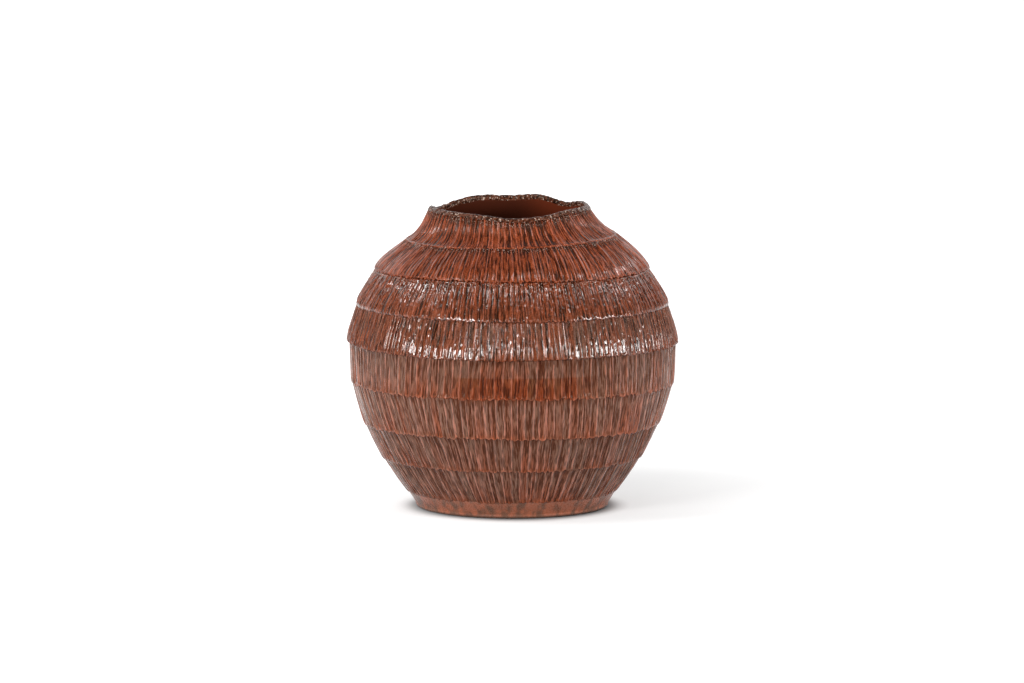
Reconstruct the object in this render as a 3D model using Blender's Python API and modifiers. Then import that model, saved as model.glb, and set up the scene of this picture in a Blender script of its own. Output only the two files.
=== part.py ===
"""A squat hand-built stoneware vase, raised from strips of clay and carved with upright flutes.

A base slab lies on the ledge of a plain foot band. Eight carved courses stand on the band, each a
strip of clay luted to the next on a slanting lap joint, and a rolled coil finishes the mouth.
Sizes are in millimetres and become metres when a mesh is made. The front of the vase faces -Y.
"""

import math
import random
from collections import namedtuple

import bmesh
import bpy
from mathutils import Vector

MM = 0.001
MERGE_DISTANCE = 0.00001

# Luted joints between the strips
JOINT_GAP = 0.3
LAP_RISE = 5.0
STRIP_STEP = 0.9

# Thickness of the wall
WALL_AT_FOOT = 8.5
WALL_AT_LIP = 5.0

# Foot band: the flat ring that it stands on, its rounded arris and its plain outer face
GROUND_RADIUS = 79.0
FOOT_ARRIS = 3.6
FOOT_BAND_HEIGHT = 14.5
FOOT_BAND_TOP_RADIUS = 89.6
FOOT_RING_INNER_RADIUS = 64.0
FOOT_RING_CHAMFER = 1.2

# Base slab, which lies on a ledge inside the foot band
UNDERSIDE_RECESS = 3.0
LEDGE_WIDTH = 6.0
SLAB_THICKNESS = 8.5
SLAB_EDGE_CHAMFER = 0.8

# Carved courses, foot to mouth: the height of each, and the radius of the wall at its upper joint
COURSE_1_HEIGHT = 29.0
COURSE_1_TOP_RADIUS = 111.0
COURSE_2_HEIGHT = 28.8
COURSE_2_TOP_RADIUS = 125.9
COURSE_3_HEIGHT = 35.0
COURSE_3_TOP_RADIUS = 137.4
COURSE_4_HEIGHT = 33.8
COURSE_4_TOP_RADIUS = 139.5
COURSE_5_HEIGHT = 32.0
COURSE_5_TOP_RADIUS = 133.2
COURSE_6_HEIGHT = 31.0
COURSE_6_TOP_RADIUS = 116.6
COURSE_7_HEIGHT = 27.4
COURSE_7_TOP_RADIUS = 89.3
COURSE_8_HEIGHT = 22.6
COURSE_8_TOP_RADIUS = 69.2

# The swell is how far a course's outer side stands out from the straight line between its joints,
# as a share of its height, and fullest is the share of its height where it stands out most.
Course = namedtuple("Course", "name height top_radius swell fullest")
COURSES = (
    Course("carved_course_1", COURSE_1_HEIGHT, COURSE_1_TOP_RADIUS, swell=0.024, fullest=0.38),
    Course("carved_course_2", COURSE_2_HEIGHT, COURSE_2_TOP_RADIUS, swell=0.021, fullest=0.35),
    Course("carved_course_3", COURSE_3_HEIGHT, COURSE_3_TOP_RADIUS, swell=0.020, fullest=0.35),
    Course("carved_course_4", COURSE_4_HEIGHT, COURSE_4_TOP_RADIUS, swell=0.012, fullest=0.30),
    Course("carved_course_5", COURSE_5_HEIGHT, COURSE_5_TOP_RADIUS, swell=0.069, fullest=0.22),
    Course("carved_course_6", COURSE_6_HEIGHT, COURSE_6_TOP_RADIUS, swell=0.052, fullest=0.33),
    Course("carved_course_7", COURSE_7_HEIGHT, COURSE_7_TOP_RADIUS, swell=0.088, fullest=0.32),
    Course("carved_course_8", COURSE_8_HEIGHT, COURSE_8_TOP_RADIUS, swell=-0.124, fullest=0.45),
)
INSIDE_FOLLOWS_SWELL = 0.8

# Flutes: gouged hollows with a crest between each two. A row gives a share of the course's height
# and how much of the full depth the gouge reaches there, for a stroke scooped in and out.
FLUTE_PITCH = 7.2
FLUTE_DEPTH = 2.0
FLUTE_ROWS = ((0.10, 0.85), (0.42, 1.0), (0.92, 0.7))
FLUTE_SLANT = 0.25
FLUTE_UNEVENNESS = 0.12
FLUTE_DEPTH_SPREAD = 0.25

# Lip coil
LIP_COIL_HEIGHT = 4.8
LIP_OVERHANG = 0.5
LIP_ARCH_POINTS = 7

# The potter's hand: how far the joints wander up and down, how far the mouth leans to -X, how far
# the joint under the neck tilts up to +X, and how far the rim rises and dips, with the share of it
# at equal turns round the mouth from the front towards +X
JOINT_WANDER = 1.1
OUT_OF_ROUND = 0.4
MOUTH_LEAN = 2.0
NECK_TILT = 1.8
RIM_UNEVENNESS = 4.8
RIM_RISES = (
    -1.00, -0.75, 0.06, 0.23, 0.10, 0.27, -0.25, 0.77, 0.50, 0.69, 0.00, -0.73, 0.00, -0.02, -0.19, -0.44
)

# Facets round the vase, points round the foot's arris, and rows up the inside of a course. A course
# that swells by a smaller share than the least bend needs no row at its middle.
FACETS = 60
ARRIS_POINTS = 4
INSIDE_ROWS = (0.0, 0.5, 1.0)
LEAST_BEND = 0.035

MATERIALS = {
    "rust_glaze": dict(color=(0.205, 0.055, 0.030), roughness=0.22),
    "foot_glaze": dict(color=(0.210, 0.075, 0.045), roughness=0.30),
    "lip_glaze": dict(color=(0.070, 0.040, 0.030), roughness=0.28),
    "bare_clay": dict(color=(0.230, 0.120, 0.080), roughness=0.75),
}

Joint = namedtuple("Joint", "outer inner across square")


def seam_points():
    """(radius, height) of each joint at the outside of the wall, from the foot band to the lip."""
    points = [Vector((FOOT_BAND_TOP_RADIUS, FOOT_BAND_HEIGHT))]
    for course in COURSES:
        points.append(Vector((course.top_radius, points[-1].y + course.height)))
    return points


SEAMS = seam_points()
RIM_HEIGHT = SEAMS[-1].y + LIP_COIL_HEIGHT


def wall_direction(index):
    """The way the wall climbs at a joint, halfway between the strips below and above it."""
    arris_top = Vector((GROUND_RADIUS + FOOT_ARRIS, FOOT_ARRIS))
    below = SEAMS[index - 1] if index else arris_top
    direction = (SEAMS[index] - below).normalized()
    if index < len(COURSES):
        direction += (SEAMS[index + 1] - SEAMS[index]).normalized()
    else:
        direction += Vector((-direction.y, direction.x)) * COURSES[-1].swell * math.pi
    return direction.normalized()


def joint(index):
    """A lap joint: its two ends, the way across the wall to the inside, and the way up square to it."""
    along = wall_direction(index)
    inward = Vector((-along.y, along.x))
    share = index / len(COURSES)
    wall = WALL_AT_FOOT + (WALL_AT_LIP - WALL_AT_FOOT) * share
    rise = LAP_RISE if index < len(COURSES) else 0.0
    outer = SEAMS[index]
    inner = outer + inward * wall + along * rise
    across = (inner - outer).normalized()
    return Joint(outer, inner, across, Vector((across.y, -across.x)))


def joint_below(index):
    """Outer and inner edges of the face under a course, whose outer edge oversails the joint."""
    place = joint(index)
    lift = place.square * JOINT_GAP / 2
    return place.outer - place.across * STRIP_STEP + lift, place.inner + lift


def joint_above(index):
    """Outer and inner edges of the face on top of the strip that ends at a joint."""
    place = joint(index)
    drop = place.square * JOINT_GAP / 2
    return place.outer - drop, place.inner - drop


def swollen(course, low, high, share, follow=1.0):
    """A point on the side of a course, standing out from the straight line between low and high."""
    chord = high - low
    outward = Vector((chord.y, -chord.x)).normalized()
    skew = math.log(0.5) / math.log(course.fullest)
    swell = course.swell * course.height * follow * math.sin(math.pi * share ** skew)
    return low + chord * share + outward * swell


def rows_of(course, rows):
    """The rows that a course needs: all of them, or the first and last if it's nearly straight."""
    return rows if abs(course.swell) > LEAST_BEND else (rows[0], rows[-1])


def lining_profile(index):
    """A course's joint faces and inner side, from its upper outer edge round to its lower one."""
    course = COURSES[index]
    low_outer, low_inner = joint_below(index)
    high_outer, high_inner = joint_above(index + 1)
    inner = [
        swollen(course, low_inner, high_inner, share, INSIDE_FOLLOWS_SWELL)
        for share in reversed(rows_of(course, INSIDE_ROWS))
    ]
    return [high_outer] + inner + [low_outer]


def carved_profile(index):
    """The rows of a course's outer side that the flutes are cut in, from the lowest up."""
    course = COURSES[index]
    low, high = joint_below(index)[0], joint_above(index + 1)[0]
    return [swollen(course, low, high, share) for share, _ in rows_of(course, FLUTE_ROWS)]


def foot_band_profile():
    """The band's section: its joint face, sloping side, arris, ground ring, ledge and inner fillet."""
    top_outer, top_inner = joint_above(0)
    arris = []
    for step in range(ARRIS_POINTS):
        turn = math.radians(90) * step / (ARRIS_POINTS - 1)
        arris.append(
            Vector((GROUND_RADIUS + FOOT_ARRIS * math.cos(turn), FOOT_ARRIS * (1 - math.sin(turn))))
        )
    ledge_radius = FOOT_RING_INNER_RADIUS + LEDGE_WIDTH
    slab_top = UNDERSIDE_RECESS + JOINT_GAP + SLAB_THICKNESS
    ring = [
        Vector((FOOT_RING_INNER_RADIUS + FOOT_RING_CHAMFER, 0.0)),
        Vector((FOOT_RING_INNER_RADIUS, FOOT_RING_CHAMFER)),
        Vector((FOOT_RING_INNER_RADIUS, UNDERSIDE_RECESS)),
        Vector((ledge_radius, UNDERSIDE_RECESS)),
        Vector((ledge_radius, slab_top)),
    ]
    corner = Vector((top_inner.x - (top_inner.y - slab_top) * 0.4, slab_top))
    fillet = ring[-1].lerp(corner, 0.5).lerp(corner.lerp(top_inner, 0.5), 0.5)
    return [top_outer] + arris + ring + [fillet, top_inner]


def base_slab_profile():
    """Half of the slab's section, from the axis on top, over the edge and back to the axis."""
    low = UNDERSIDE_RECESS + JOINT_GAP
    high = low + SLAB_THICKNESS
    radius = FOOT_RING_INNER_RADIUS + LEDGE_WIDTH - JOINT_GAP
    return [
        Vector((0.0, high)),
        Vector((radius - SLAB_EDGE_CHAMFER, high)),
        Vector((radius, high - SLAB_EDGE_CHAMFER)),
        Vector((radius, low + SLAB_EDGE_CHAMFER)),
        Vector((radius - SLAB_EDGE_CHAMFER, low)),
        Vector((0.0, low)),
    ]


def lip_coil_profile():
    """The rolled lip: a flat seat on the last course and a round back."""
    place = joint(len(COURSES))
    lift = place.square * JOINT_GAP / 2
    middle = (place.outer + place.inner) / 2 + lift
    half = (place.inner - place.outer).length / 2 + LIP_OVERHANG
    points = []
    for step in range(LIP_ARCH_POINTS):
        turn = math.pi * step / (LIP_ARCH_POINTS - 1)
        reach = place.across * half * math.cos(turn)
        points.append(middle + reach + place.square * LIP_COIL_HEIGHT * math.sin(turn))
    return points


def smooth_ramp(value, low, high):
    """0 below low, 1 above high, with a smooth rise between."""
    share = min(max((value - low) / (high - low), 0.0), 1.0)
    return share * share * (3.0 - 2.0 * share)


def rim_rise(turn):
    """How far the rim stands above its mean height, turn radians round from the front."""
    count = len(RIM_RISES)
    place = turn / (2 * math.pi) * count
    first = math.floor(place)
    share = place - first
    before, here, after, beyond = (RIM_RISES[(first + k) % count] for k in (-1, 0, 1, 2))
    bend = 2 * before - 5 * here + 4 * after - beyond
    twist = 3 * (here - after) + beyond - before
    return RIM_UNEVENNESS * (here + 0.5 * share * (after - before + share * (bend + share * twist)))


def hand_shaped(point):
    """Moves a turned point to where the potter's hand left it; the foot stays true and flat."""
    radius = math.hypot(point.x, point.y)
    turn = math.atan2(point.x, -point.y)
    height = point.z
    free = smooth_ramp(height, FOOT_BAND_HEIGHT, SEAMS[2].y)
    near_rim = smooth_ramp(height, SEAMS[-3].y, RIM_HEIGHT) ** 2
    above_neck = smooth_ramp(height, SEAMS[-2].y, RIM_HEIGHT)
    near_neck = smooth_ramp(height, SEAMS[-3].y, SEAMS[-2].y) * (1 - above_neck)
    phase = 2 * math.pi * height / RIM_HEIGHT
    wander = 0.6 * math.sin(turn + phase) + 0.4 * math.sin(3 * turn - 2 * phase)
    rise = JOINT_WANDER * free * (1 - near_rim) * wander + near_rim * rim_rise(turn)
    rise += NECK_TILT * near_neck * math.sin(turn)
    radius += OUT_OF_ROUND * free * math.sin(3 * turn + phase)
    lean = MOUTH_LEAN * near_rim
    return Vector((radius * math.sin(turn) - lean, -radius * math.cos(turn), height + rise))


def turned(profile, steps, closed):
    """A bmesh in millimetres of a section turned once round the upright axis."""
    outline = bpy.data.meshes.new("profile")
    last = len(profile) if closed else len(profile) - 1
    edges = [(i, (i + 1) % len(profile)) for i in range(last)]
    outline.from_pydata([(p.x * MM, 0.0, p.y * MM) for p in profile], edges, [])
    guide = bpy.data.objects.new("profile", outline)
    bpy.context.scene.collection.objects.link(guide)
    screw = guide.modifiers.new("Turn", "SCREW")
    screw.axis = "Z"
    screw.steps = steps
    screw.render_steps = steps
    screw.use_merge_vertices = True
    screw.merge_threshold = MERGE_DISTANCE
    evaluated = guide.evaluated_get(bpy.context.evaluated_depsgraph_get())
    mesh = bpy.data.meshes.new_from_object(evaluated)
    bpy.data.objects.remove(guide)
    shape = bmesh.new()
    shape.from_mesh(mesh)
    bpy.data.meshes.remove(mesh)
    bmesh.ops.scale(shape, vec=(1 / MM,) * 3, verts=shape.verts)
    return shape


def carve(shape, index, flutes):
    """Cuts the flutes in a turned sheet: every other column of its points goes in to the hollow."""
    rows = carved_profile(index)
    outward = Vector((rows[-1].y - rows[0].y, rows[0].x - rows[-1].x)).normalized()
    hand = random.Random(index)
    drifts = [hand.uniform(-FLUTE_UNEVENNESS, FLUTE_UNEVENNESS) for _ in range(2 * flutes)]
    depths = [hand.uniform(-FLUTE_DEPTH_SPREAD, FLUTE_DEPTH_SPREAD) for _ in range(flutes)]
    slant = FLUTE_SLANT * math.cos(2.4 * index)
    pitch = 2 * math.pi / flutes
    for vert in shape.verts:
        turn = math.atan2(vert.co.x, -vert.co.y)
        column = round(2 * turn / pitch) % (2 * flutes)
        row = min(range(len(rows)), key=lambda r: abs(rows[r].y - vert.co.z))
        share, reach = rows_of(COURSES[index], FLUTE_ROWS)[row]
        flute, hollow = divmod(column, 2)
        depth = FLUTE_DEPTH * reach * (1 + depths[flute]) * hollow
        turn += pitch * (drifts[column] + slant * (share - 0.5))
        radius = rows[row].x - outward.x * depth
        height = rows[row].y - outward.y * depth
        vert.co = (radius * math.sin(turn), -radius * math.cos(turn), height)


def fluted_course(index):
    """A course of clay: a fluted sheet outside, and inside it a plain lining with the joint faces."""
    rows = carved_profile(index)
    mean_radius = sum(row.x for row in rows) / len(rows)
    flutes = round(2 * math.pi * mean_radius / FLUTE_PITCH)
    shape = turned(rows, 2 * flutes, closed=False)
    carve(shape, index, flutes)
    lining = turned(lining_profile(index), FACETS, closed=False)
    spare = bpy.data.meshes.new("lining")
    lining.to_mesh(spare)
    lining.free()
    shape.from_mesh(spare)
    bpy.data.meshes.remove(spare)
    middle = (rows[0].y + rows[-1].y) / 2
    rims = [edge for edge in shape.edges if edge.is_boundary]
    for above in (False, True):
        pair = [edge for edge in rims if (edge.verts[0].co.z > middle) == above]
        bmesh.ops.bridge_loops(shape, edges=pair)
    return shape


def make_material(name):
    """A plain material of a slot's colour and gloss."""
    look = MATERIALS[name]
    material = bpy.data.materials.new(name)
    material.use_nodes = True
    shader = material.node_tree.nodes["Principled BSDF"]
    shader.inputs["Base Color"].default_value = (*look["color"], 1.0)
    shader.inputs["Roughness"].default_value = look["roughness"]
    shader.inputs["Metallic"].default_value = 0.0
    return material


def add_piece(name, shape, material_name, collection):
    """Gives a turned shape the hand's unevenness and adds it to the vase as a piece of its own."""
    for vert in shape.verts:
        vert.co = hand_shaped(vert.co)
    bmesh.ops.scale(shape, vec=(MM,) * 3, verts=shape.verts)
    bmesh.ops.recalc_face_normals(shape, faces=shape.faces)
    mesh = bpy.data.meshes.new(name)
    shape.to_mesh(mesh)
    shape.free()
    mesh.shade_smooth()
    mesh.set_sharp_from_angle(angle=math.radians(35))
    mesh.materials.append(make_material(material_name))
    piece = bpy.data.objects.new(name, mesh)
    collection.objects.link(piece)
    return piece


def build_vase():
    for leftover in list(bpy.data.objects):
        bpy.data.objects.remove(leftover)
    collection = bpy.data.collections.new("vase")
    bpy.context.scene.collection.children.link(collection)
    slab = turned(base_slab_profile(), FACETS, closed=False)
    add_piece("base_slab", slab, "bare_clay", collection)
    add_piece("foot_band", turned(foot_band_profile(), FACETS, closed=True), "foot_glaze", collection)
    for index, course in enumerate(COURSES):
        add_piece(course.name, fluted_course(index), "rust_glaze", collection)
    add_piece("lip_coil", turned(lip_coil_profile(), FACETS, closed=True), "lip_glaze", collection)


build_vase()
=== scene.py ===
"""A squat hand-built stoneware vase: eight carved courses on a foot band, under a rolled lip.

The sizes repeat the model's, in millimetres, and become metres when a mesh is made. The front of
the vase faces -Y, and a turn is an angle in radians round from the front towards +X.
"""

import math
from collections import namedtuple

import bmesh
import bpy
import numpy as np
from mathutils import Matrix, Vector


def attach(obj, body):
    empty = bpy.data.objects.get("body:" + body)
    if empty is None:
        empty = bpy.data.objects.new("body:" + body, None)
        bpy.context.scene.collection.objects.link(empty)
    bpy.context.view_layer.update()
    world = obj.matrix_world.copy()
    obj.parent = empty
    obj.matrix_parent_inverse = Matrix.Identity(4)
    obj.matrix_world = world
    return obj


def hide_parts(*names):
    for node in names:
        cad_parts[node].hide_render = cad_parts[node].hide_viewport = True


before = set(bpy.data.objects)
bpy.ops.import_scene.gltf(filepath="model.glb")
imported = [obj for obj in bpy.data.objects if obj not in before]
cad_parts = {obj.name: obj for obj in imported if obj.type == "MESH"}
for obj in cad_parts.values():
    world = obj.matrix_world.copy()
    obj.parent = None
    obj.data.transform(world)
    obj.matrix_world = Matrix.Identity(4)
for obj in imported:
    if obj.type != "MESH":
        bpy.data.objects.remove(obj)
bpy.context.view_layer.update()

MM = 0.001
FULL_TURN = 2 * math.pi

# Luted joints between the strips. The glaze closes them, so here the strips bed into each other.
LUTE_BEDDING = 0.2
LAP_RISE = 5.0
STRIP_STEP = 0.9

# Thickness of the wall
WALL_AT_FOOT = 8.5
WALL_AT_LIP = 5.0

# Foot band and base slab
GROUND_RADIUS = 79.0
FOOT_ARRIS = 3.6
FOOT_BAND_HEIGHT = 14.5
FOOT_BAND_TOP_RADIUS = 89.6
FOOT_RING_INNER_RADIUS = 64.0
FOOT_RING_CHAMFER = 1.2
FOOT_INSIDE_SLOPE = 0.4
UNDERSIDE_RECESS = 3.0
LEDGE_WIDTH = 6.0
SLAB_GAP = 0.3
SLAB_THICKNESS = 8.5
SLAB_EDGE_CHAMFER = 0.8

# Carved courses, foot to mouth. The height, top radius, swell and fullest place shape the side as
# in the model. Pitch is the mean distance between two crests, uneven how much the strokes differ
# in width, open the least share of its depth that a stroke keeps at its top, band the least height
# left uncut at the bottom, ragged how uneven the ends of the strokes are, and edge how far up the
# bottom edge rounds over. Pooling is how much glaze has run together along that edge, grit how
# rough it lies in millimetres, with lumps so long, gloss its shine and shade how pale it is.
Form = namedtuple("Form", "height top_radius swell fullest")
Strokes = namedtuple("Strokes", "pitch uneven open band ragged edge")
Surface = namedtuple("Surface", "pooling grit lumps gloss shade")
Course = namedtuple("Course", Form._fields + Strokes._fields + Surface._fields)
FORMS = (
    Form(height=29.0, top_radius=111.0, swell=0.024, fullest=0.38),
    Form(height=28.8, top_radius=125.9, swell=0.021, fullest=0.35),
    Form(height=35.0, top_radius=137.4, swell=0.020, fullest=0.35),
    Form(height=33.8, top_radius=139.5, swell=0.012, fullest=0.30),
    Form(height=32.0, top_radius=133.2, swell=0.069, fullest=0.22),
    Form(height=31.0, top_radius=116.6, swell=0.052, fullest=0.33),
    Form(height=27.4, top_radius=89.3, swell=0.088, fullest=0.32),
    Form(height=22.6, top_radius=69.2, swell=-0.124, fullest=0.45),
)
STROKES = (
    Strokes(pitch=5.3, uneven=1.0, open=0.3, band=0.2, ragged=1.2, edge=1.0),
    Strokes(pitch=6.0, uneven=1.0, open=0.3, band=0.2, ragged=1.2, edge=1.0),
    Strokes(pitch=5.8, uneven=1.0, open=0.3, band=0.2, ragged=1.2, edge=1.0),
    Strokes(pitch=5.8, uneven=0.9, open=0.4, band=0.2, ragged=1.3, edge=1.0),
    Strokes(pitch=4.4, uneven=0.8, open=1.0, band=0.3, ragged=1.2, edge=1.0),
    Strokes(pitch=4.1, uneven=0.7, open=0.0, band=1.0, ragged=0.8, edge=6.0),
    Strokes(pitch=3.7, uneven=0.6, open=0.3, band=0.3, ragged=1.3, edge=2.5),
    Strokes(pitch=4.5, uneven=0.6, open=0.3, band=0.6, ragged=0.4, edge=1.0),
)
SURFACES = (
    # The two lowest courses' shade is partly painted shade: they are kept darker for the shadowed
    # floor that they mirror
    Surface(pooling=0.7, grit=0.03, lumps=3.2, gloss=0.70, shade=0.83),
    Surface(pooling=0.4, grit=0.03, lumps=3.2, gloss=0.70, shade=0.80),
    Surface(pooling=0.4, grit=0.03, lumps=3.2, gloss=0.70, shade=0.99),
    Surface(pooling=0.4, grit=0.03, lumps=3.2, gloss=0.70, shade=0.94),
    Surface(pooling=0.9, grit=0.08, lumps=2.6, gloss=1.00, shade=0.72),
    Surface(pooling=0.9, grit=0.15, lumps=1.9, gloss=1.00, shade=0.76),
    Surface(pooling=0.8, grit=0.04, lumps=1.9, gloss=0.65, shade=0.95),
    Surface(pooling=0.6, grit=0.05, lumps=1.9, gloss=0.20, shade=0.98),
)
COURSES = tuple(
    Course(*form, *strokes, *surface) for form, strokes, surface in zip(FORMS, STROKES, SURFACES)
)
COURSE_NAMES = ["carved_course_%d" % (index + 1) for index in range(len(COURSES))]
INSIDE_FOLLOWS_SWELL = 0.8

# Lip coil. Its lumps are given as height, the most waves round the vase and the spread of a wave.
LIP_COIL_HEIGHT = 4.8
LIP_OVERHANG = 0.5
LIP_LUMPS = ((0.5, 60, 9.0), (0.25, 110, 6.0))
LIP_NICKS = 46
NICK_DEPTHS = (0.1, 0.5)
NICK_LENGTHS = (0.5, 1.6)
DEEPEST_NICK = 0.8

# The potter's hand, as in the model
JOINT_WANDER = 1.1
OUT_OF_ROUND = 0.4
MOUTH_LEAN = 2.0
NECK_TILT = 1.8
RIM_UNEVENNESS = 4.8
RIM_RISES = (
    -1.00, -0.75, 0.06, 0.23, 0.10, 0.27, -0.25, 0.77,
    0.50, 0.69, 0.00, -0.73, 0.00, -0.02, -0.19, -0.44,
)

# Every surface lies this far inside the model's, so that unevenness never passes its outer face
SKIN = 0.3

# Flutes: gouge strokes side by side, with a crest between each two. A stroke comes out of the clay
# in a scoop at the bottom of its course and starts under the ledge at the top. A corner of the
# gouge leaves a finer groove beside most crests, and its nicked blade leaves lines in the hollow.
FLUTE_WIDTHS = (0.4, 0.7, 0.95, 1.1, 1.3)
FLUTE_WIDTH_ODDS = (0.15, 0.2, 0.3, 0.24, 0.11)
FLUTE_DEPTH = 1.0
CREST_ROUNDING = 0.25
SCOOP_LENGTH = 4.5
START_LENGTH = 4.0
GROOVE_DEPTH = 0.6
GROOVE_WIDTH = 0.07
TOOL_LINES = 0.35

# The least and the most that one stroke may have of each of these: its width, depth, scoop and
# start as shares of the mean, its lean, how far its deepest place lies off its middle, how steep
# its sides are, how worn its crest is, how unevenly it ends, how much more of its depth than the
# least it keeps at the top, and how deep its groove is. The groove lies right or left of the
# middle, at a share of the stroke's width.
WIDTH_RANGE = (0.88, 1.12)
DEPTH_RANGE = (0.65, 1.2)
SCOOP_RANGE = (0.6, 1.3)
START_RANGE = (0.5, 1.4)
LEAN_RANGE = (-0.5, 0.2)
SKEW_RANGE = (-0.35, 0.35)
STEEPNESS_RANGE = (2.0, 4.5)
WEAR_RANGE = (-0.1, 0.3)
MOST_WORN = 0.5
ENDS_RANGE = (0.0, 1.6)
KEPT_RANGE = (0.0, 0.7)
GROOVE_RANGE = (0.3, 1.0)
GROOVE_RIGHT = (0.76, 0.88)
GROOVE_LEFT = (0.12, 0.24)
GROOVE_RIGHT_ODDS = 0.7

# Dents in the courses and in the foot band, scrapes on the slab, how far in the bottom edge of a
# course is rounded, and how far up its ragged shape is still felt
DENTS = 0.4
FOOT_DENTS = 0.5
SLAB_SCRAPES = 0.3
EDGE_DROP = 0.9
RAGGED_REACH = 7.0

# Where the random unevenness of each kind of piece starts from
CARVING_SEED = 100
GRIT_SEED = 300
LIP_SEED = 41
FOOT_SEED = 7
SLAB_SEED = 5

# Columns and rows of the meshes. The rows of a course's laps and lining and of the lip's underside
# lie at shares of the way across or up, and the glaze runs on over the first of the upper lap's.
# The points that fall together in the middle of a disc are merged.
COLUMN_STEP = 0.58
FLUTE_ROW_STEP = 0.85
EDGE_ROWS = (0.0, 0.25, 0.55, 0.9, 1.3, 1.8)
UPPER_LAP_ROWS = (0.12, 0.5, 0.99)
LOWER_LAP_ROWS = (0.01, 0.5, 0.8, 0.93)
GLAZED_LAP_ROWS = 2
LINING_ROWS = np.concatenate(([1, 0.995], np.linspace(0.9, 0.1, 9), [0.005, 0]))
RING_COLUMNS = 720
RING_ROW_STEP = 1.2
POLE_MERGE = 0.001
LIP_ROWS = 30
LIP_UNDERSIDE_ROWS = (0.01, 0.5, 0.99)
ARRIS_STEPS = 8
SLAB_RINGS = 24

# Bands that the outside of a ring is laid out in for a flat map, and the map's share that they take
MAP_NAME = "OFBake"
MAP_BANDS = 5
MAP_OUTSIDE = 0.82
MAP_MARGIN = 0.004

# Camera: where it stands, what it looks at, and its lens on a full-frame sensor
CAMERA_PLACE = (0.0, -4.9635, 0.7438)
CAMERA_TARGET = (0.0, 0.0, 0.1405)
CAMERA_LENS = 206.5
SENSOR_WIDTH = 36.0

Joint = namedtuple("Joint", "outer inner across square")
Flutes = namedtuple("Flutes", "turn plain_turn cut hollow tone ragged")


def seam_points():
    """(radius, height) of each joint at the outside of the wall, from the foot band to the lip."""
    points = [Vector((FOOT_BAND_TOP_RADIUS, FOOT_BAND_HEIGHT))]
    for course in COURSES:
        points.append(Vector((course.top_radius, points[-1].y + course.height)))
    return points


SEAMS = seam_points()
RIM_HEIGHT = SEAMS[-1].y + LIP_COIL_HEIGHT


def wall_direction(index):
    """The way the wall climbs at a joint, halfway between the strips below and above it."""
    arris_top = Vector((GROUND_RADIUS + FOOT_ARRIS, FOOT_ARRIS))
    below = SEAMS[index - 1] if index else arris_top
    direction = (SEAMS[index] - below).normalized()
    if index < len(COURSES):
        direction += (SEAMS[index + 1] - SEAMS[index]).normalized()
    else:
        direction += Vector((-direction.y, direction.x)) * COURSES[-1].swell * math.pi
    return direction.normalized()


def joint(index):
    """A lap joint: its two ends, the way across the wall inward, and the way up square to it."""
    along = wall_direction(index)
    inward = Vector((-along.y, along.x))
    share = index / len(COURSES)
    wall = WALL_AT_FOOT + (WALL_AT_LIP - WALL_AT_FOOT) * share
    rise = LAP_RISE if index < len(COURSES) else 0.0
    outer = SEAMS[index]
    inner = outer + inward * wall + along * rise
    across = (inner - outer).normalized()
    return Joint(outer, inner, across, Vector((across.y, -across.x)))


def joint_below(index):
    """Outer and inner edges of the face under a course, whose outer edge oversails the joint."""
    place = joint(index)
    sink = place.square * LUTE_BEDDING / 2
    return place.outer - place.across * STRIP_STEP - sink, place.inner - sink


def joint_above(index):
    """Outer and inner edges of the face on top of the strip that ends at a joint."""
    place = joint(index)
    lift = place.square * LUTE_BEDDING / 2
    return place.outer + lift, place.inner + lift


def side_of(course, low, high, shares, follow=1.0):
    """Points on the side of a course at shares of its height, and the way each faces outward."""
    low, high = np.array(low), np.array(high)
    chord = high - low
    outward = np.array((chord[1], -chord[0])) / np.hypot(*chord)
    skew = math.log(0.5) / math.log(course.fullest)
    swell = course.swell * course.height * follow * np.sin(math.pi * shares**skew)
    points = low + shares[:, None] * chord + swell[:, None] * outward
    slope = np.gradient(points, shares, axis=0)
    facing = np.stack((slope[:, 1], -slope[:, 0]), 1)
    return points, facing / np.linalg.norm(facing, axis=1)[:, None]


def smooth_ramp(value, low, high):
    """0 below low, 1 above high, with a smooth rise between."""
    share = np.clip((value - low) / (high - low), 0.0, 1.0)
    return share * share * (3.0 - 2.0 * share)


def rim_rise(turn):
    """How far the rim stands above its mean height at each turn."""
    count = len(RIM_RISES)
    place = turn / FULL_TURN * count
    first = np.floor(place).astype(int)
    share = place - first
    rises = np.array(RIM_RISES)
    before, here, after, beyond = (rises[(first + k) % count] for k in (-1, 0, 1, 2))
    bend = 2 * before - 5 * here + 4 * after - beyond
    twist = 3 * (here - after) + beyond - before
    return RIM_UNEVENNESS * (here + 0.5 * share * (after - before + share * (bend + share * twist)))


def hand_shaped(turn, radius, height):
    """Turned points where the potter's hand left them; the foot stays true and flat."""
    free = smooth_ramp(height, FOOT_BAND_HEIGHT, SEAMS[2].y)
    near_rim = smooth_ramp(height, SEAMS[-3].y, RIM_HEIGHT) ** 2
    above_neck = smooth_ramp(height, SEAMS[-2].y, RIM_HEIGHT)
    near_neck = smooth_ramp(height, SEAMS[-3].y, SEAMS[-2].y) * (1 - above_neck)
    phase = FULL_TURN * height / RIM_HEIGHT
    wander = 0.6 * np.sin(turn + phase) + 0.4 * np.sin(3 * turn - 2 * phase)
    rise = JOINT_WANDER * free * (1 - near_rim) * wander + near_rim * rim_rise(turn)
    rise = rise + NECK_TILT * near_neck * np.sin(turn)
    radius = radius + OUT_OF_ROUND * free * np.sin(3 * turn + phase)
    lean = MOUTH_LEAN * near_rim
    return np.stack((radius * np.sin(turn) - lean, -radius * np.cos(turn), height + rise), -1)


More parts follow.
